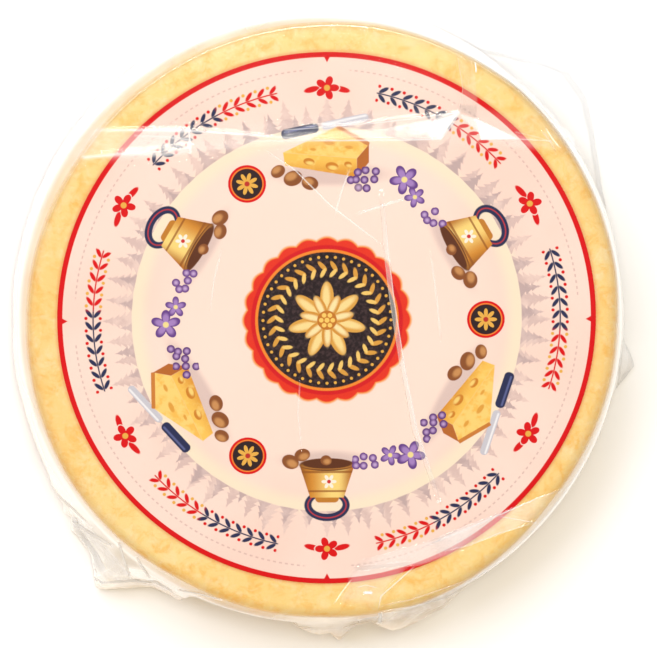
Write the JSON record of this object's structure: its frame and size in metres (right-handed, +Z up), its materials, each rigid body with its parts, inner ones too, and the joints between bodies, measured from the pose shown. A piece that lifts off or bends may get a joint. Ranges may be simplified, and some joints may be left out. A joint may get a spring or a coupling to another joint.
{
  "type": "raclette cheese wheel",
  "caption": "Whole round of semi-hard raclette cheese lying flat, with a paper label on its top face, wrapped in clear film with loose crumpled folds round the foot.",
  "frame": {"origin": "centre of the flat underside that the round rests on", "axes": "+Z up out of the top face; +Y towards the top edge of the picture, along the slightly longer diameter; +X to the right of the picture"},
  "size_m": [0.3242, 0.3325, 0.0675],
  "materials": {
    "cheese_rind": "smooth pale golden yellow rind, faintly mottled, slightly damp sheen",
    "label_paper": null,
    "clear_film": "thin clear glossy plastic film with creases and a hazy lap"
  },
  "bodies": {
    "root": {"cheese_wheel": "cheese_rind", "label": "label_paper", "film_wrap": "clear_film"}
  },
  "joints": []
}
